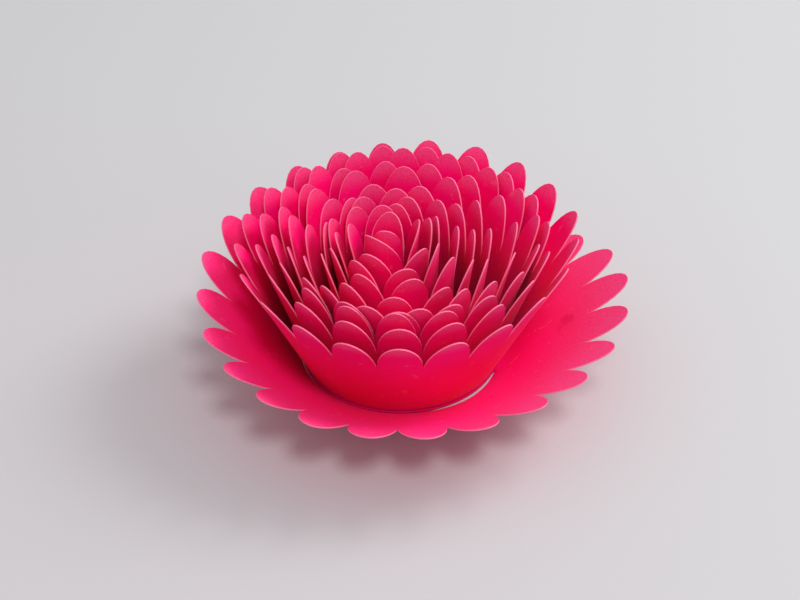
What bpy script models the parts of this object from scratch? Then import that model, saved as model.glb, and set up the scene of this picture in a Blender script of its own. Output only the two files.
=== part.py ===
"""Rolled paper flower: one sheet of card, cut as a petalled spiral strip and rolled up.

The middle of the spiral stays as a flat disc, which the flower stands on. The strip leaves the disc
on the right, runs round as a low skirt, then rises and winds inwards as a bowl of upright turns.
Angles are in degrees, clockwise seen from above: 0 is the right (+X), 90 the front (-Y),
180 the left and 270 the back, and they go on counting from turn to turn.
"""

import math

import bmesh
import bpy
import numpy as np

MM = 0.001

# Driving dimensions of the cut sheet
CARD = 0.3 * MM
STRIP_WIDTH = 35.6 * MM
PETAL_DEPTH = 12.2 * MM
PETAL_PITCH = 9.78 * MM
PITCH_LINE = 0.674
PETAL_COUNT = 143

# Where the strip leaves the disc: it starts narrow, and is creased up off the disc as far as the slit
STRIP_START = -56.0
FULL_WIDTH_ANGLE = 13.0
START_TAPER = 0.5
SLIT_END = 20.0
SLIT_OPENING = 0.5 * MM
SLIT_CLOSED_ANGLE = 75.0

# How far the free rim of the disc lies inside the rolled edge
RIM_INSET = 0.4 * MM

# Height of the loose rolled edge over the disc, reached before the strip passes over its own start
ROLL_CLEARANCE = 0.3 * MM
LIFTED_ANGLE = 300.0

# Radius of the petal tips round the skirt and up into the first turn, as (angle, millimetres),
# for a strip of full width
SKIRT_TIPS = (
    (-56, 52.4), (-30, 53.4), (0, 51.4), (25, 52.2), (50, 52.8), (85, 52.8), (112, 52.4), (138, 50.4),
    (178, 43.2), (206, 37.2), (240, 32.6), (264, 33.6), (282, 37.0), (300, 41.4), (320, 41.0), (345, 41.2),
)

# Radius of the petal tips of each upright turn at the right, front, left and back, in millimetres
TURN_TIPS = (
    (39.4, 39.0, 36.3, 31.8),
    (33.0, 34.2, 31.6, 30.9),
    (30.7, 30.7, 27.6, 23.4),
    (25.5, 30.0, 24.3, 21.7),
    (19.2, 29.3, 20.0, 14.2),
    (15.3, 25.4, 16.2, 12.4),
    (12.0, 20.0, 15.2, 10.2),
    (9.4, 16.2, 11.6, 6.8),
    (8.8, 12.4, 8.8, 5.8),
    (6.2, 6.8, 5.8, 3.4),
)
CURL_END_ANGLE = 4140.0
CURL_END_TIP = 4.2

# Petals pushed in at the left of the back, on the second and third turns
DENT_DEPTH = 1.9 * MM
DENT_ANGLE = 215.0
DENT_SPREAD = 28.0
DENT_STARTS = (480, 520)
DENT_ENDS = (1060, 1120)

# Radius of the rolled edge at the start of each turn, in millimetres
EDGE_RADII = (23.3, 22.6, 21.6, 20.5, 19.1, 17.0, 14.2, 11.3, 8.6, 6.2, 4.2, 2.2)

# The inner turns sit forward of the middle, and the innermost curl a little to the left
EDGE_FORWARD = 2.6 * MM
FORWARD_TURNS = (1080.0, 3240.0)
CURL_OFFSET = 2.0 * MM
CURL_TURNS = (2520.0, 3240.0)

# The hand-rolled turns aren't round, which carries petals forward or back: (angle, share of a petal)
PETAL_SHIFTS = (
    (-56, 0.1), (-32, -0.4), (0, -0.2), (40, -0.05), (80, 0.15), (120, 0.25), (160, 0.05), (200, 0.05),
    (330, 0.15), (466, 0.45), (540, 0.25), (720, -0.1), (1150, -0.15), (1270, -0.5), (1600, -0.5),
    (1850, 0.15), (1960, -0.05), (2170, 0.35), (2300, 0.1), (2560, 0.45), (2700, 0.25), (2868, 0.35),
    (3040, 0.05), (3400, -0.2), (3600, -0.15), (3860, 0.3),
)

# Shape of the mesh across one petal, from notch to notch
PETAL_COLUMNS = (0.0, 0.08, 0.26, 0.5, 0.74, 0.92)
PETAL_BULGE = 2.0
PETAL_CROWN = 0.6
ANGLE_STEP = 0.5
DISC_STEP = 8.0
TURN = 360.0


def smooth_curve(stations, angles):
    """Read a cubic curve through the stations at each angle, level beyond both ends."""
    x, y = np.array(stations, dtype=float).T
    gap = np.diff(x)
    slope = np.diff(y) / gap
    tangent = np.zeros_like(y)
    tangent[1:-1] = (slope[1:] * gap[:-1] + slope[:-1] * gap[1:]) / (gap[1:] + gap[:-1])
    at = np.clip(angles, x[0], x[-1])
    i = np.clip(np.searchsorted(x, at, side="right") - 1, 0, len(gap) - 1)
    t = (at - x[i]) / gap[i]
    return (
        y[i] * (2 * t**3 - 3 * t**2 + 1)
        + tangent[i] * gap[i] * (t**3 - 2 * t**2 + t)
        + y[i + 1] * (3 * t**2 - 2 * t**3)
        + tangent[i + 1] * gap[i] * (t**3 - t**2)
    )


def share(angles, start, end):
    """How far each angle is from one angle to another, from 0 to 1."""
    return np.clip((angles - start) / (end - start), 0.0, 1.0)


def ramp(angles, start, end):
    """Rise smoothly from 0 at one angle to 1 at another."""
    t = share(angles, start, end)
    return t * t * (3 - 2 * t)


def tip_stations():
    """Stations of the whole strip's tip radius: the skirt, then four to each turn."""
    turns = [radius for turn in TURN_TIPS for radius in turn]
    stations = list(SKIRT_TIPS)
    stations += [(TURN + TURN / 4 * i, radius) for i, radius in enumerate(turns)]
    stations.append((CURL_END_ANGLE, CURL_END_TIP))
    return stations


def on_circle(angles, radius):
    """Points at a radius from the axis, as rows of x and y."""
    turned = np.radians(angles)
    return np.stack([radius * np.cos(turned), -radius * np.sin(turned)], axis=-1)


def edge_radii(angles):
    """Radius of the rolled edge at each angle, with the slit closed."""
    turns = [(TURN * i, radius) for i, radius in enumerate(EDGE_RADII)]
    return smooth_curve(turns, angles) * MM


def strip_at(angles):
    """Rolled edge, tip direction, width and petal depth of the strip at each angle."""
    taper = 1 - START_TAPER * (1 - share(angles, STRIP_START, FULL_WIDTH_ANGLE)) ** 2
    width = STRIP_WIDTH * taper
    curl = np.zeros((len(angles), 2))
    curl[:, 0] = -CURL_OFFSET * ramp(angles, *CURL_TURNS)

    opening = SLIT_OPENING * np.sin(math.pi * share(angles, SLIT_END, SLIT_CLOSED_ANGLE))
    edge = on_circle(angles, edge_radii(angles) + opening) + curl
    edge[:, 1] -= EDGE_FORWARD * np.sin(math.pi * share(angles, *FORWARD_TURNS)) ** 2
    lift = CARD + ROLL_CLEARANCE
    edge_height = CARD / 2 + lift * ramp(angles, SLIT_END, LIFTED_ANGLE)

    tip_radius = smooth_curve(tip_stations(), angles) * MM
    from_dent = (angles - DENT_ANGLE + TURN / 2) % TURN - TURN / 2
    dented = ramp(angles, *DENT_STARTS) * (1 - ramp(angles, *DENT_ENDS))
    tip_radius -= DENT_DEPTH * dented * np.exp(-((from_dent / DENT_SPREAD) ** 2))
    tips = on_circle(angles, tip_radius) + curl
    lean = (tips - edge) * taper[:, None]
    rise = np.sqrt(width**2 - np.sum(lean**2, axis=-1))
    base = np.column_stack([edge, edge_height])
    upward = np.column_stack([lean, rise]) / width[:, None]
    return base, upward, width, PETAL_DEPTH * taper


def column_places():
    """Angles of the mesh columns, with petals spaced evenly along a line near the notches."""
    angles = np.arange(STRIP_START, TURN * len(EDGE_RADII), ANGLE_STEP)
    base, upward, width, _ = strip_at(angles)
    line = base + upward * (width * PITCH_LINE)[:, None]
    steps = np.linalg.norm(np.diff(line, axis=0), axis=-1)
    length = np.concatenate([[0.0], np.cumsum(steps)])
    petals = length / PETAL_PITCH - smooth_curve(PETAL_SHIFTS, angles)
    across = [petal + place for petal in range(PETAL_COUNT) for place in PETAL_COLUMNS]
    across = np.array(across + [PETAL_COUNT])
    return np.interp(across + petals[0], petals, angles), across % 1.0


def petal_height(across):
    """Height of a petal's outline over its notches, as a share of its depth."""
    return (1 - np.abs(2 * across - 1) ** PETAL_BULGE) ** PETAL_CROWN


def build_sheet(name):
    """Make the rolled sheet as one open surface: the strip and the disc that it grows from."""
    angles, across = column_places()
    base, upward, width, depth = strip_at(angles)
    notch = base + upward * (width - depth)[:, None]
    outline = notch + upward * (depth * petal_height(across))[:, None]

    mesh = bmesh.new()
    columns = []
    for low, middle, high, place in zip(base, notch, outline, across):
        column = [mesh.verts.new(low), mesh.verts.new(middle)]
        column.append(column[1] if place == 0 else mesh.verts.new(high))
        columns.append(column)
    for left, right in zip(columns, columns[1:]):
        mesh.faces.new((left[0], right[0], right[1], left[1]))
        corners = dict.fromkeys((left[1], right[1], right[2], left[2]))
        mesh.faces.new(list(corners))

    neck = [column[0] for column, angle in zip(columns, angles) if angle <= SLIT_END]
    free = np.arange(SLIT_END + DISC_STEP, TURN + STRIP_START, DISC_STEP)
    circle = on_circle(free, edge_radii(free) - RIM_INSET)
    rim = [mesh.verts.new((x, y, CARD / 2)) for x, y in circle]
    mesh.faces.new(neck + rim)
    bmesh.ops.recalc_face_normals(mesh, faces=mesh.faces)

    data = bpy.data.meshes.new(name)
    mesh.to_mesh(data)
    mesh.free()
    return bpy.data.objects.new(name, data)


def card_material():
    """Matt deep-pink card."""
    material = bpy.data.materials.new("pink_card")
    material.use_nodes = True
    surface = material.node_tree.nodes["Principled BSDF"]
    surface.inputs["Base Color"].default_value = (0.86, 0.008, 0.11, 1.0)
    surface.inputs["Roughness"].default_value = 0.75
    surface.inputs["Metallic"].default_value = 0.0
    return material


def main():
    for old in list(bpy.data.objects):
        bpy.data.objects.remove(old)
    parts = bpy.data.collections.new("paper_flower")
    bpy.context.scene.collection.children.link(parts)

    flower = build_sheet("rolled_paper_flower")
    parts.objects.link(flower)
    flower.data.materials.append(card_material())

    card = flower.modifiers.new("card", "SOLIDIFY")
    card.thickness = CARD
    card.offset = 0.0
    card.use_even_offset = True


main()
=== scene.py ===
# %% [markdown]
# # A rolled paper flower
# The real flower is one sheet of deep-pink card. It is cut as a flat spiral with rounded petals along
# its outer edge, and the long strip is then rolled up round its own tail. The flat middle of the
# spiral becomes the foot. This script dresses the plain model of that sheet: the same roll with
# finely cut petals, card with a fibre to it, and a pale table under soft light.

# %% Load the frame
import math

import bmesh
import bpy
import numpy as np
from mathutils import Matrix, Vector


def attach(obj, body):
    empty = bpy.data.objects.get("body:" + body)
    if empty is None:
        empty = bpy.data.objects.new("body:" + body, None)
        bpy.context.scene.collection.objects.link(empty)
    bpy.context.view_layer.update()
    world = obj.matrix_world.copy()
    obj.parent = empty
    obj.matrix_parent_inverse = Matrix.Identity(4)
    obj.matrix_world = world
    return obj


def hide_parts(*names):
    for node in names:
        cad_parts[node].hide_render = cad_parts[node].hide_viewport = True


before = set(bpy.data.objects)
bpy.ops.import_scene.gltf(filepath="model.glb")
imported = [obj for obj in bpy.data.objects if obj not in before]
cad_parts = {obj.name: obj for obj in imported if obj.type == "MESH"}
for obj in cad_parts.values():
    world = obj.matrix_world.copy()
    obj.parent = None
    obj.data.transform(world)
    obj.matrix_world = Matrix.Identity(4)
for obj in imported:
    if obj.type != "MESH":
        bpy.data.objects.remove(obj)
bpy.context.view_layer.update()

MM = 0.001

# %% [markdown]
# ## The sheet and how it is rolled
# A rolled strip can be described by two lines: the edge that is rolled up, low down, and the line
# of the petal tips, high up. Each is a radius that shrinks as the angle goes round, turn after turn.
# Angles run clockwise seen from above: 0 is the right, 90 the front, 180 the left, 270 the back.
# These are the same sizes as the plain model's, so the dressed sheet lies exactly where that one is.

# %% Sizes of the sheet and the roll
CARD = 0.3 * MM
STRIP_WIDTH = 35.6 * MM
PETAL_DEPTH = 12.2 * MM
PETAL_PITCH = 9.78 * MM
PITCH_LINE = 0.674
PETAL_COUNT = 143

TURN = 360.0
STRIP_START = -56.0
FULL_WIDTH_ANGLE = 13.0
START_TAPER = 0.5
SLIT_END = 20.0
SLIT_OPENING = 0.5 * MM
SLIT_CLOSED_ANGLE = 75.0
RIM_INSET = 0.4 * MM
ROLL_CLEARANCE = 0.3 * MM
LIFTED_ANGLE = 300.0
print("petals:", PETAL_COUNT, "strip width in mm:", round(STRIP_WIDTH / MM, 1))

# %% Radius of the petal tips, in millimetres
# First round the wide skirt, then four to each upright turn: right, front, left and back.
SKIRT_TIPS = (
    (-56, 52.4), (-30, 53.4), (0, 51.4), (25, 52.2), (50, 52.8), (85, 52.8), (112, 52.4), (138, 50.4),
    (178, 43.2), (206, 37.2), (240, 32.6), (264, 33.6), (282, 37.0), (300, 41.4), (320, 41.0), (345, 41.2),
)
TURN_TIPS = (
    (39.4, 39.0, 36.3, 31.8),
    (33.0, 34.2, 31.6, 30.9),
    (30.7, 30.7, 27.6, 23.4),
    (25.5, 30.0, 24.3, 21.7),
    (19.2, 29.3, 20.0, 14.2),
    (15.3, 25.4, 16.2, 12.4),
    (12.0, 20.0, 15.2, 10.2),
    (9.4, 16.2, 11.6, 6.8),
    (8.8, 12.4, 8.8, 5.8),
    (6.2, 6.8, 5.8, 3.4),
)
CURL_END_ANGLE = 4140.0
CURL_END_TIP = 4.2
print("upright turns:", len(TURN_TIPS))

# %% Where the roll isn't round
DENT_DEPTH = 1.9 * MM
DENT_ANGLE = 215.0
DENT_SPREAD = 28.0
DENT_STARTS = (480, 520)
DENT_ENDS = (1060, 1120)
EDGE_RADII = (23.3, 22.6, 21.6, 20.5, 19.1, 17.0, 14.2, 11.3, 8.6, 6.2, 4.2, 2.2)
EDGE_FORWARD = 2.6 * MM
FORWARD_TURNS = (1080.0, 3240.0)
CURL_OFFSET = 2.0 * MM
CURL_TURNS = (2520.0, 3240.0)
PETAL_SHIFTS = (
    (-56, 0.1), (-32, -0.4), (0, -0.2), (40, -0.05), (80, 0.15), (120, 0.25), (160, 0.05), (200, 0.05),
    (330, 0.15), (466, 0.45), (540, 0.25), (720, -0.1), (1150, -0.15), (1270, -0.5), (1600, -0.5),
    (1850, 0.15), (1960, -0.05), (2170, 0.35), (2300, 0.1), (2560, 0.45), (2700, 0.25), (2868, 0.35),
    (3040, 0.05), (3400, -0.2), (3600, -0.15), (3860, 0.3),
)


# %% Curves that the roll follows
def smooth_curve(stations, angles):
    """A cubic through the stations, level beyond both ends. Its slope at each station is the mean
    of the slopes on either side, weighted towards the nearer station."""
    x, y = np.array(stations, dtype=float).T
    gap = np.diff(x)
    slope = np.diff(y) / gap
    tangent = np.zeros_like(y)
    tangent[1:-1] = (slope[1:] * gap[:-1] + slope[:-1] * gap[1:]) / (gap[1:] + gap[:-1])
    at = np.clip(angles, x[0], x[-1])
    i = np.clip(np.searchsorted(x, at, side="right") - 1, 0, len(gap) - 1)
    t = (at - x[i]) / gap[i]
    return (
        y[i] * (2 * t**3 - 3 * t**2 + 1)
        + tangent[i] * gap[i] * (t**3 - 2 * t**2 + t)
        + y[i + 1] * (3 * t**2 - 2 * t**3)
        + tangent[i + 1] * gap[i] * (t**3 - t**2)
    )


def share(angles, start, end):
    """How far each angle is from one angle to another, from 0 to 1."""
    return np.clip((angles - start) / (end - start), 0.0, 1.0)


def ramp(angles, start, end):
    """A smooth step: three times the square of the share, less twice its cube."""
    t = share(angles, start, end)
    return t * t * (3 - 2 * t)


def on_circle(angles, radius):
    """Rows of x and y: the radius times the cosine, and minus the radius times the sine."""
    turned = np.radians(angles)
    return np.stack([radius * np.cos(turned), -radius * np.sin(turned)], axis=-1)


def tip_radii(angles):
    """Radius of the petal tips at each angle, in metres, before the dents."""
    turns = [radius for turn in TURN_TIPS for radius in turn]
    stations = list(SKIRT_TIPS)
    stations += [(TURN + TURN / 4 * i, radius) for i, radius in enumerate(turns)]
    stations.append((CURL_END_ANGLE, CURL_END_TIP))
    return smooth_curve(stations, angles) * MM


def edge_radii(angles):
    """Radius of the rolled edge at each angle, in metres, with the slit closed."""
    turns = [(TURN * i, radius) for i, radius in enumerate(EDGE_RADII)]
    return smooth_curve(turns, angles) * MM


# %% The strip at each angle
def strip_at(angles):
    """Rolled edge, direction up the strip, width and petal depth. The strip is straight from its
    edge to its tips, so its rise is the root of its width squared less its lean squared."""
    taper = 1 - START_TAPER * (1 - share(angles, STRIP_START, FULL_WIDTH_ANGLE)) ** 2
    width = STRIP_WIDTH * taper
    curl = np.zeros((len(angles), 2))
    curl[:, 0] = -CURL_OFFSET * ramp(angles, *CURL_TURNS)

    opening = SLIT_OPENING * np.sin(math.pi * share(angles, SLIT_END, SLIT_CLOSED_ANGLE))
    edge = on_circle(angles, edge_radii(angles) + opening) + curl
    edge[:, 1] -= EDGE_FORWARD * np.sin(math.pi * share(angles, *FORWARD_TURNS)) ** 2
    lift = CARD + ROLL_CLEARANCE
    edge_height = CARD / 2 + lift * ramp(angles, SLIT_END, LIFTED_ANGLE)

    from_dent = (angles - DENT_ANGLE + TURN / 2) % TURN - TURN / 2
    dented = ramp(angles, *DENT_STARTS) * (1 - ramp(angles, *DENT_ENDS))
    dents = DENT_DEPTH * dented * np.exp(-((from_dent / DENT_SPREAD) ** 2))
    tips = on_circle(angles, tip_radii(angles) - dents) + curl
    lean = (tips - edge) * taper[:, None]
    rise = np.sqrt(width**2 - np.sum(lean**2, axis=-1))
    base = np.column_stack([edge, edge_height])
    upward = np.column_stack([lean, rise]) / width[:, None]
    return base, upward, width, PETAL_DEPTH * taper


fronts = np.array([TURN / 4, TURN + TURN / 4])
_, upward, width, _ = strip_at(fronts)
print("rise of skirt and bowl at the front in mm:", (upward[:, 2] * width / MM).round(1))

# %% [markdown]
# ## Cutting the petals
# The petals are evenly spaced along the strip, so the script first measures the length along it and
# then finds the angle of every column of the mesh. Columns crowd towards the notches, where the
# outline is steep. Each petal is a rounded arch, and a hand-rolled one never stands quite like its
# neighbour: its tip bends back a little, and leans and twists by a hair. How far it may go depends
# on the room between the turns, so that no petal pokes through the next.

# %% Columns across each petal
COLUMNS_PER_PETAL = 16
ANGLE_STEP = 0.5
PETAL_BULGE = 2.0
PETAL_CROWN = 0.6

survey = np.arange(STRIP_START, TURN * len(EDGE_RADII), ANGLE_STEP)
base, upward, width, _ = strip_at(survey)
line = base + upward * (width * PITCH_LINE)[:, None]
length = np.concatenate([[0.0], np.cumsum(np.linalg.norm(np.diff(line, axis=0), axis=-1))])
petals_so_far = length / PETAL_PITCH - smooth_curve(PETAL_SHIFTS, survey)

steps = np.arange(PETAL_COUNT * COLUMNS_PER_PETAL + 1)
across = (1 - np.cos(math.pi * (steps % COLUMNS_PER_PETAL) / COLUMNS_PER_PETAL)) / 2
petal = steps // COLUMNS_PER_PETAL
angles = np.interp(petal + across + petals_so_far[0], petals_so_far, survey)
outline = (1 - np.abs(2 * across - 1) ** PETAL_BULGE) ** PETAL_CROWN
print("strip length in mm:", round(PETAL_COUNT * PETAL_PITCH / MM), "last angle:", round(angles[-1]))

# %% How each petal stands
CURL_BACK = 0.35 * MM
LEAN_SPREAD = 0.45 * MM
TWIST_SPREAD = 0.4 * MM
ROOM_SHARE = 0.3
CHANCE_SEED = 7
USUAL_SHARE = 0.5

chance = np.random.default_rng(CHANCE_SEED)
lean_of = chance.normal(0.0, USUAL_SHARE, PETAL_COUNT + 1)
twist_of = chance.normal(0.0, USUAL_SHARE, PETAL_COUNT + 1)
inner_room = tip_radii(angles) - tip_radii(angles + TURN)
outer_room = tip_radii(angles - TURN) - tip_radii(angles)
outer_room = np.where(angles < TURN, inner_room, outer_room)
room = np.minimum(np.abs(inner_room), np.abs(outer_room)) - CARD
room = np.clip(ROOM_SHARE * room, 0.0, LEAN_SPREAD)
wave = np.clip(lean_of[petal], -1, 1) * LEAN_SPREAD
wave += np.clip(twist_of[petal], -1, 1) * TWIST_SPREAD * (2 * across - 1)
bend = np.clip(CURL_BACK + wave, -room, room)
print("petals bend by up to mm:", round(float(np.abs(bend).max()) / MM, 2))


# %% [markdown]
# ## One surface from edge to tips
# The strip is a grid: one direction runs along the roll, the other from the rolled edge up to the
# notches and on to the outline of the petals. A grid of points worked out at once is quicker than
# modelling a petal and copying it 143 times, and the card stays one sheet, as the real one is. The
# rows of a petal all meet in one point at each notch, so doubles are merged afterwards.

# %% The strip's grid of points
# The skirt's painted highlight is strongest on the right, weaker from there on, and gone
# once the skirt has risen.
LOW_ROWS = 8
PETAL_ROWS = 7
SKIRT_RISES = (200.0, 300.0)
SKIRT_HIGHLIGHT_FADES = (30.0, 80.0)
SKIRT_HIGHLIGHT_FADES_BY = 0.4


def strip_points():
    """Rows of points, each the edge plus the direction times a height. Above the notches the height
    is the outline's times the row's share, and the bend is times the square of that share of the
    depth. The skirt's share, which sets its painted highlight, is height over width while the strip
    lies open, and smaller once the angle is past the right, where the painted highlight fades."""
    base, upward, width, depth = strip_at(angles)
    outward = base * [1, 1, 0] / np.linalg.norm(base[:, :2], axis=-1)[:, None]
    outward -= upward * np.sum(outward * upward, axis=-1)[:, None]
    outward /= np.linalg.norm(outward, axis=-1)[:, None]
    to_notch = np.linspace(0, 1, LOW_ROWS)[:, None] * (width - depth)
    over_notch = np.linspace(0, 1, PETAL_ROWS + 1)[1:, None] * outline
    heights = np.vstack([to_notch, (width - depth) + over_notch * depth])
    raised = np.vstack([np.zeros((LOW_ROWS, len(angles))), over_notch])
    points = base + upward * heights[..., None]
    points += outward * (bend * raised**2)[..., None]
    # Painted highlight on the skirt: full on the right, weaker past it.
    lit_side = 1 - SKIRT_HIGHLIGHT_FADES_BY * ramp(angles, *SKIRT_HIGHLIGHT_FADES)
    skirt_highlight = heights / width * lit_side * (1 - ramp(angles, *SKIRT_RISES))
    return points, raised, skirt_highlight


points, raised, skirt_highlight = strip_points()
print("points in the grid:", points.shape[:2])


# %% The disc's rings of points
DISC_STEP = 4.0
DISC_RINGS = 6


def disc_points():
    """Rings from the middle out to the rim. The rim is the strip's own edge as far as the slit, and
    the rest of the way round it lies a little inside the rolled edge."""
    neck = strip_at(angles[angles <= SLIT_END])[0]
    free = np.arange(SLIT_END + DISC_STEP, TURN + STRIP_START, DISC_STEP)
    loose = on_circle(free, edge_radii(free) - RIM_INSET)
    loose = np.column_stack([loose, np.full(len(free), CARD / 2)])
    rim = np.vstack([neck, loose, neck[:1]])
    middle = np.array([0.0, 0.0, CARD / 2])
    shares = np.linspace(0, 1, DISC_RINGS)[:, None, None]
    return middle + (rim - middle) * shares


def grid_faces(rows, columns, first):
    """Corners of the quads of a grid whose points are numbered row by row."""
    low = first + np.arange(rows - 1)[:, None] * columns + np.arange(columns - 1)
    return np.stack([low, low + 1, low + columns + 1, low + columns], axis=-1).reshape(-1, 4)


# %% The sheet as a mesh
MERGE_DISTANCE = 0.002 * MM

disc = disc_points()
strip_faces = grid_faces(*points.shape[:2], 0)
disc_faces = grid_faces(*disc.shape[:2], points.shape[0] * points.shape[1])
vertices = np.vstack([points.reshape(-1, 3), disc.reshape(-1, 3)])
flat = np.zeros(disc.shape[0] * disc.shape[1])

sheet = bpy.data.meshes.new("petalled_sheet")
sheet.from_pydata(vertices, [], np.vstack([strip_faces, disc_faces]).tolist())
for name, shares in (("tip_share", raised), ("skirt_highlight_share", skirt_highlight)):
    values = np.concatenate([shares.ravel(), flat])
    sheet.attributes.new(name, "FLOAT", "POINT").data.foreach_set("value", values)
welded = bmesh.new()
welded.from_mesh(sheet)
bmesh.ops.remove_doubles(welded, verts=welded.verts, dist=MERGE_DISTANCE)
bmesh.ops.recalc_face_normals(welded, faces=welded.faces)
welded.to_mesh(sheet)
welded.free()
flower = bpy.data.objects.new("petalled_roll", sheet)
bpy.context.scene.collection.objects.link(flower)
print("faces in the thin sheet:", len(sheet.polygons))

# %% [markdown]
# ## Card
# The card is dyed through, matt, and slightly furry when the light grazes it. Its colour drifts a
# little from place to place, and it has a fine fibre that is felt more than seen. The petal tips and
# the open skirt, most of all on its right, are painted paler as painted highlight, broken up by the
# fibre. There are a few specks and light scuffs, and one dark patch on the right of the skirt, a
# painted shadow of a petal tip. Where the cutter went through, the edge of a petal is paler too,
# because broken fibres scatter more light. The cut edge that is rolled up at the foot is painted dark,
# as painted shade in the crease there. All of it is worked out from the place in the object, and
# from two attributes of the mesh: how far up its petal a point is, and how far out on the open skirt,
# less past the right. So nothing slides when the flower is seen from another side.


# %% Helpers for shader nodes
def add_node(tree, kind, settings=None, **inputs):
    """Add a shader node, set its properties and fill its inputs with values or links. An input is
    named by its label, or by an underscore and its number."""
    made = tree.nodes.new(kind)
    for name, value in (settings or {}).items():
        setattr(made, name, value)
    for name, value in inputs.items():
        number = name[1:]
        socket = made.inputs[int(number)] if number.isdigit() else made.inputs[name.replace("_", " ")]
        if isinstance(value, bpy.types.NodeSocket):
            tree.links.new(value, socket)
        else:
            socket.default_value = value
    return made


def work_out(tree, operation, first, second, third=0.0):
    """One step of sums on two or three values."""
    made = add_node(tree, "ShaderNodeMath", {"operation": operation}, _0=first, _1=second, _2=third)
    return made.outputs[0]


def fade(tree, value, start, end):
    """A smooth step: 0 where the value is at the start, 1 where it is at the end."""
    smooth = {"interpolation_type": "SMOOTHSTEP"}
    made = add_node(tree, "ShaderNodeMapRange", smooth, Value=value, From_Min=start, From_Max=end)
    return made.outputs[0]


def mix_colours(tree, amount, first, second):
    """The first colour where the amount is 0, the second where it is 1."""
    made = add_node(tree, "ShaderNodeMix", {"data_type": "RGBA"}, _0=amount, _6=first, _7=second)
    return made.outputs[2]


def noise(tree, place, scale, detail):
    """Cloudy noise, with scale in clouds to the metre."""
    made = add_node(tree, "ShaderNodeTexNoise", Vector=place, Scale=scale, Detail=detail)
    return made.outputs["Fac"]


def start_material(name, roughness, specular):
    """A new material, with its tree, its shader and its Object coordinates."""
    material = bpy.data.materials.new(name)
    material.use_nodes = True
    tree = material.node_tree
    shader = tree.nodes["Principled BSDF"]
    shader.inputs["Roughness"].default_value = roughness
    shader.inputs["Specular IOR Level"].default_value = specular
    place = tree.nodes.new("ShaderNodeTexCoord").outputs["Object"]
    return material, tree, shader, place


# %% The face of the card
DEEP_PINK = (0.92, 0.0, 0.140, 1.0)
BRIGHT_PINK = (0.96, 0.003, 0.210, 1.0)
DEEP_UP_TO = 0.45
BRIGHT_FROM = 1.05
DRIFT = {"scale": 70.0, "detail": 3.0}
FIBRE = {"scale": 2600.0, "detail": 4.0}
FIBRE_IN_TONE = 0.5

face, tree, shader, place = start_material("card_face", roughness=0.6, specular=0.03)
drift = noise(tree, place, **DRIFT)
fibre = noise(tree, place, **FIBRE)
tone = work_out(tree, "MULTIPLY_ADD", fibre, FIBRE_IN_TONE, drift)
dyed = mix_colours(tree, fade(tree, tone, DEEP_UP_TO, BRIGHT_FROM), DEEP_PINK, BRIGHT_PINK)
print("nodes in", face.name, "so far:", len(tree.nodes))

# %% Painted highlight on the tips and the skirt
TIP_HIGHLIGHT_PINK = (0.90, 0.100, 0.270, 1.0)
TIP_HIGHLIGHT_STARTS = 0.55
TIP_HIGHLIGHT_AMOUNT = 0.8
SKIRT_HIGHLIGHT_STARTS = 0.15
SKIRT_HIGHLIGHT_AMOUNT = 0.8
GRAIN_FROM = 0.3
GRAIN_TO = 0.6
GRAIN_SHARE = 0.6

# Painted highlight: the petal tips and the open skirt, strongest on its right, are painted paler, broken
# up by the fibre.
tips = add_node(tree, "ShaderNodeAttribute", {"attribute_name": "tip_share"}).outputs["Fac"]
grain = fade(tree, fibre, GRAIN_FROM, GRAIN_TO)
grain = work_out(tree, "MULTIPLY_ADD", grain, GRAIN_SHARE, 1 - GRAIN_SHARE)
skirt = add_node(tree, "ShaderNodeAttribute", {"attribute_name": "skirt_highlight_share"}).outputs["Fac"]
skirt = work_out(tree, "MULTIPLY", fade(tree, skirt, SKIRT_HIGHLIGHT_STARTS, 1.0), SKIRT_HIGHLIGHT_AMOUNT)
painted_highlight = work_out(tree, "MULTIPLY", fade(tree, tips, TIP_HIGHLIGHT_STARTS, 1.0), TIP_HIGHLIGHT_AMOUNT)
painted_highlight = work_out(tree, "MAXIMUM", painted_highlight, skirt)
painted_highlight = work_out(tree, "MULTIPLY", painted_highlight, grain)
highlighted = mix_colours(tree, painted_highlight, dyed, TIP_HIGHLIGHT_PINK)
print("nodes in", face.name, "so far:", len(tree.nodes))

# %% Light scuffs and specks
SCUFFED_PINK = (0.97, 0.09, 0.24, 1.0)
BLOTS = {"scale": 420.0, "detail": 2.0}
SCUFF_FROM = 0.66
SCUFF_TO = 0.74
SCUFF_AMOUNT = 0.5
SPECK_CELLS = 130.0
SPECK_SIZE = 0.03
SPECK_SHARE = 0.3

blots = noise(tree, place, **BLOTS)
scuff = work_out(tree, "MULTIPLY", fade(tree, blots, SCUFF_FROM, SCUFF_TO), SCUFF_AMOUNT)
cells = add_node(tree, "ShaderNodeTexVoronoi", Vector=place, Scale=SPECK_CELLS)
chosen = add_node(tree, "ShaderNodeSeparateColor", Color=cells.outputs["Color"]).outputs[0]
speck = work_out(tree, "LESS_THAN", cells.outputs["Distance"], SPECK_SIZE)
speck = work_out(tree, "MULTIPLY", speck, work_out(tree, "LESS_THAN", chosen, SPECK_SHARE))
marks = work_out(tree, "MAXIMUM", scuff, speck)
marked = mix_colours(tree, marks, highlighted, SCUFFED_PINK)
print("nodes in", face.name, "so far:", len(tree.nodes))

# %% A painted shadow of a petal tip on the right of the skirt
PETAL_SHADOW_PLACE = (0.0380, -0.0045, 0.0114)
PETAL_SHADOW_PINK = (0.60, 0.0, 0.080, 1.0)
PETAL_SHADOW_INSIDE = 4.5 * MM
PETAL_SHADOW_OUTSIDE = 6.5 * MM
PETAL_SHADOW_RAGGED = 7.0 * MM
PETAL_SHADOW_AMOUNT = 0.4

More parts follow.
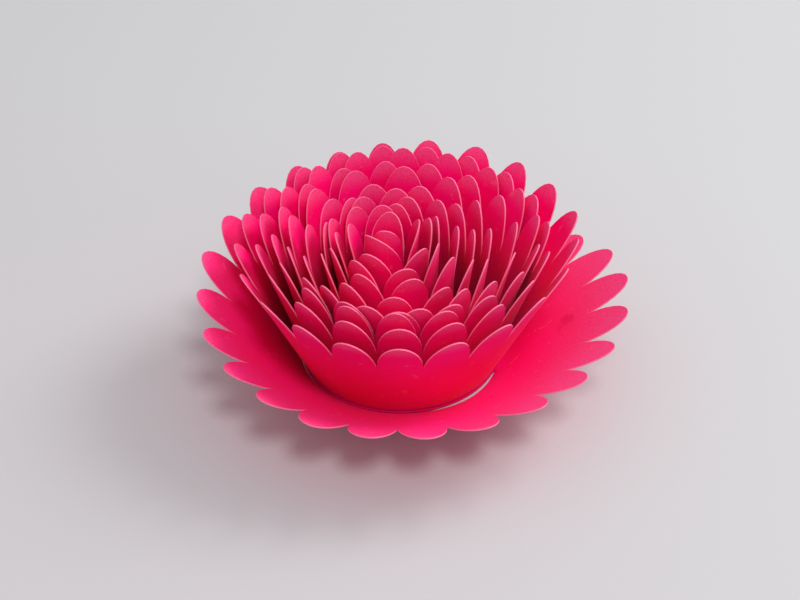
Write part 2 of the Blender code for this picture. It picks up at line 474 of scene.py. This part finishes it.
# A darker ragged patch on the skirt: painted shadow of a petal tip above it.
to_petal_shadow = add_node(tree, "ShaderNodeVectorMath", {"operation": "DISTANCE"}, _0=place, _1=PETAL_SHADOW_PLACE)
ragged = work_out(tree, "MULTIPLY_ADD", blots, PETAL_SHADOW_RAGGED, to_petal_shadow.outputs["Value"])
petal_shadow = fade(tree, ragged, PETAL_SHADOW_OUTSIDE, PETAL_SHADOW_INSIDE)
petal_shadow = work_out(tree, "MULTIPLY", petal_shadow, PETAL_SHADOW_AMOUNT)
tree.links.new(mix_colours(tree, petal_shadow, marked, PETAL_SHADOW_PINK), shader.inputs["Base Color"])
print("smudge in mm:", [round(c / MM, 1) for c in PETAL_SHADOW_PLACE])

# %% Fibre that is felt, and the furry look at a grazing angle
FIBRE_BUMP = {"Strength": 0.25, "Distance": 0.04 * MM}
FURRY = {"Sheen Weight": 0.05, "Sheen Roughness": 0.4, "Sheen Tint": (1.0, 0.55, 0.70, 1.0)}

bump = add_node(tree, "ShaderNodeBump", Height=fibre, **FIBRE_BUMP)
tree.links.new(bump.outputs[0], shader.inputs["Normal"])
for name, value in FURRY.items():
    shader.inputs[name].default_value = value
print("nodes in", face.name, "in all:", len(tree.nodes))

# %% The cut edge
CUT_PINK = (1.0, 0.22, 0.38, 1.0)
CUT_SHADE = (0.98, 0.12, 0.27, 1.0)
FOOT_SHADE_CUT = (0.42, 0.0, 0.03, 1.0)
PALE_FROM = 0.05
TORN = {"scale": 1800.0, "detail": 3.0}
TORN_BUMP = {"Strength": 0.3, "Distance": 0.03 * MM}

cut, tree, shader, place = start_material("card_cut_edge", roughness=0.7, specular=0.3)
torn = noise(tree, place, **TORN)
pale_cut = mix_colours(tree, torn, CUT_SHADE, CUT_PINK)
tips = add_node(tree, "ShaderNodeAttribute", {"attribute_name": "tip_share"}).outputs["Fac"]
# Where the tip share is near 0, as along the rolled edge at the foot, the cut edge is painted dark:
# painted shade in the crease.
cut_colour = mix_colours(tree, fade(tree, tips, 0.0, PALE_FROM), FOOT_SHADE_CUT, pale_cut)
tree.links.new(cut_colour, shader.inputs["Base Color"])
cut_bump = add_node(tree, "ShaderNodeBump", Height=torn, **TORN_BUMP)
tree.links.new(cut_bump.outputs[0], shader.inputs["Normal"])
print("nodes in", cut.name, "in all:", len(tree.nodes))

# %% [markdown]
# ## Thickness
# A sheet without thickness looks like plastic film. Solidify gives the card its 0.3 mm, half on each
# side, and paints the new rim with the cut edge. Faces are shaded smooth, and only the sharp corner
# between face and cut edge stays crisp.

# %% Give the sheet its card
CORNER = math.radians(50)

flower.data.materials.append(face)
flower.data.materials.append(cut)
card = flower.modifiers.new("card", "SOLIDIFY")
card.thickness = CARD
card.offset = 0.0
card.use_even_offset = True
card.material_offset_rim = 1
view = bpy.context.evaluated_depsgraph_get()
thick = bpy.data.meshes.new_from_object(flower.evaluated_get(view), depsgraph=view)
flower.modifiers.clear()
flower.data = thick
thick.shade_smooth()
thick.set_sharp_from_angle(angle=CORNER)
thick.calc_loop_triangles()
print("triangles in the card:", len(thick.loop_triangles))

# %% It stands for the plain model's node
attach(flower, "root")
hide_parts("rolled_paper_flower")
print("materials on", flower.name, [material.name for material in thick.materials])

# %% [markdown]
# ## The table
# The flower stands on a pale grey surface that runs on past the picture. It is matt, and painted a
# little warmer and darker towards the near left, as painted falloff of light. A flat square is
# enough, and only its colour is worked out.

# %% Pale table
TABLE_SIZE = 6.0
PALE_GREY = (0.57, 0.567, 0.573, 1.0)
FALLOFF_GREY = (0.57, 0.545, 0.56, 1.0)
FALLOFF_FROM = -0.16
FALLOFF_TO = 0.08

half = TABLE_SIZE / 2
corners = [(-half, -half, 0), (half, -half, 0), (half, half, 0), (-half, half, 0)]
table = bpy.data.meshes.new("table")
table.from_pydata(corners, [], [(0, 1, 2, 3)])
floor = bpy.data.objects.new("table", table)
bpy.context.scene.collection.objects.link(floor)
surface, tree, shader, place = start_material("pale_table", roughness=0.85, specular=0.2)
split = add_node(tree, "ShaderNodeSeparateXYZ", Vector=place)
slant = work_out(tree, "ADD", split.outputs[0], split.outputs[1])
# Painted falloff of light: the table is a little warmer and darker towards the near left.
grey = mix_colours(tree, fade(tree, slant, FALLOFF_FROM, FALLOFF_TO), FALLOFF_GREY, PALE_GREY)
tree.links.new(grey, shader.inputs["Base Color"])
table.materials.append(surface)
print("side of the table in metres:", TABLE_SIZE)

# %% [markdown]
# ## Light and camera
# A table by a window has more than one light. Here a small lamp high above the near side throws the
# petals' own shapes on the table under the skirt, and a larger, softer one from the right and
# behind casts the wide faint shadow to the near left. The rest is even pale light from all round.
# The camera is about half a metre off with a long lens, some 40 degrees above the table, and aims a
# little above the foot of the flower.

# %% Two lamps and the light around
FOOT = Vector((0.0, 0.0, 0.0))
NEAR_LAMP = {"place": (0.14, -0.53, 0.84), "size": 0.24, "power": 3.2}
SOFT_LAMP = {"place": (0.69, 0.36, 0.63), "size": 0.50, "power": 5.4}
AROUND = (0.97, 0.97, 1.0, 1.0)
AROUND_STRENGTH = 0.60


def add_lamp(name, place, size, power):
    """A round lamp that faces the foot of the flower."""
    light = bpy.data.lights.new(name, "AREA")
    light.shape = "DISK"
    light.size = size
    light.energy = power
    lamp = bpy.data.objects.new(name, light)
    lamp.location = place
    lamp.rotation_mode = "QUATERNION"
    lamp.rotation_quaternion = (FOOT - Vector(place)).to_track_quat("-Z", "Y")
    bpy.context.scene.collection.objects.link(lamp)


add_lamp("near_lamp", **NEAR_LAMP)
add_lamp("soft_lamp", **SOFT_LAMP)
world = bpy.data.worlds.new("around")
world.use_nodes = True
around = world.node_tree.nodes["Background"]
around.inputs["Color"].default_value = AROUND
around.inputs["Strength"].default_value = AROUND_STRENGTH
bpy.context.scene.world = world
print("lamps in watts:", NEAR_LAMP["power"], SOFT_LAMP["power"])

# %% Camera
CAMERA_DISTANCE = 0.470
CAMERA_ELEVATION = math.radians(39.7)
AIM_ABOVE = math.radians(1.36)
LENS = 91.4
SENSOR_WIDTH = 36.0

lens = bpy.data.cameras.new("camera")
lens.sensor_width = SENSOR_WIDTH
lens.lens = LENS
camera = bpy.data.objects.new("camera", lens)
back = Vector((0.0, -math.cos(CAMERA_ELEVATION), math.sin(CAMERA_ELEVATION)))
camera.location = back * CAMERA_DISTANCE
look_down = CAMERA_ELEVATION - AIM_ABOVE
camera.rotation_euler = (math.pi / 2 - look_down, 0.0, 0.0)
bpy.context.scene.collection.objects.link(camera)
bpy.context.scene.camera = camera
bpy.context.scene.view_settings.view_transform = "Standard"
print("camera at, in metres:", [round(c, 3) for c in camera.location])
